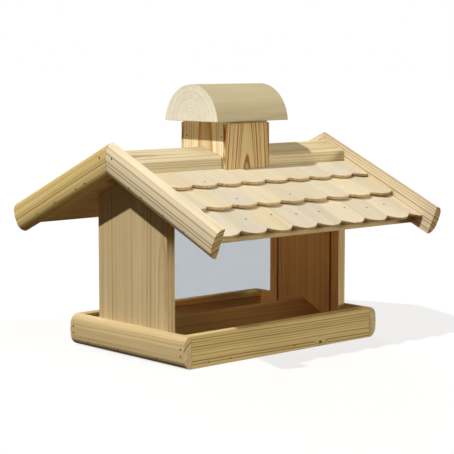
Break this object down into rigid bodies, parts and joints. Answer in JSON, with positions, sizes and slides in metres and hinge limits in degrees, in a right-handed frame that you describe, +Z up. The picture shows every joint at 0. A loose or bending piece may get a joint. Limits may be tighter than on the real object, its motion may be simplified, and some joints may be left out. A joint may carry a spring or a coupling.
{
  "type": "bird feeder house",
  "caption": "Wooden bird feeder shaped like a small house, with a railed seed tray, clear panes, a shingled saddle roof and a chimney closed by a lift-off half-log cap.",
  "frame": {"origin": "centre of the tray's underside, on the surface that the feeder stands on", "axes": "+X along the ridge, -Y towards the front long side, +Z up"},
  "size_m": [0.46, 0.4784, 0.3945],
  "materials": {
    "board_wood": "planed, unfinished",
    "rail_wood": "planed, unfinished",
    "trim_wood": "planed, unfinished",
    "shingle_wood": "planed, unfinished",
    "facing_wood": "planed, unfinished",
    "log_wood": "turned round, unfinished",
    "clear_acrylic": "clear, smooth"
  },
  "bodies": {
    "house": {"floor_board": "board_wood", "tray_rail_back": "rail_wood", "tray_rail_front": "rail_wood", "tray_rail_left": "board_wood", "tray_rail_right": "board_wood", "end_wall_left": "board_wood", "end_wall_right": "board_wood", "pane_back": "clear_acrylic", "pane_front": "clear_acrylic", "divider_board_back": "board_wood", "divider_board_front": "board_wood", "roof_board_back": "board_wood", "roof_board_front": "board_wood", "verge_back_left": "rail_wood", "verge_back_right": "trim_wood", "verge_front_left": "trim_wood", "verge_front_right": "trim_wood", "ridge_board_back_left": "board_wood", "ridge_board_back_right": "board_wood", "ridge_board_front_left": "board_wood", "ridge_board_front_right": "board_wood", "shingle_front_1_01": "shingle_wood", "shingle_front_1_02": "shingle_wood", "shingle_front_1_03": "shingle_wood", "shingle_front_1_04": "shingle_wood", "shingle_front_1_05": "shingle_wood", "shingle_front_1_06": "shingle_wood", "shingle_front_1_07": "shingle_wood", "shingle_front_1_08": "shingle_wood", "shingle_front_1_09": "shingle_wood", "shingle_front_1_10": "shingle_wood", "shingle_front_2_01": "shingle_wood", "shingle_front_2_02": "shingle_wood", "shingle_front_2_03": "shingle_wood", "shingle_front_2_04": "shingle_wood", "shingle_front_2_05": "shingle_wood", "shingle_front_2_06": "shingle_wood", "shingle_front_2_07": "shingle_wood", "shingle_front_2_08": "shingle_wood", "shingle_front_2_09": "shingle_wood", "shingle_front_3_01": "shingle_wood", "shingle_front_3_02": "shingle_wood", "shingle_front_3_03": "shingle_wood", "shingle_front_3_04": "shingle_wood", "shingle_front_3_05": "shingle_wood", "shingle_front_3_06": "shingle_wood", "shingle_front_3_07": "shingle_wood", "shingle_front_3_08": "shingle_wood", "shingle_front_3_09": "shingle_wood", "shingle_course_back_1": "shingle_wood", "shingle_course_back_2": "shingle_wood", "shingle_course_back_3": "shingle_wood", "chimney_facing_back": "facing_wood", "chimney_facing_front": "facing_wood", "chimney_inner_back": "board_wood", "chimney_inner_front": "board_wood", "chimney_side_left": "trim_wood", "chimney_side_right": "trim_wood"},
    "cap": {"cap_log": "log_wood", "cap_plug": "board_wood"}
  },
  "joints": [
    {"name": "cap_lift", "type": "slide", "parent": "house", "child": "cap", "axis": [0, 0, 1], "range_m": [0, 0.12]}
  ]
}
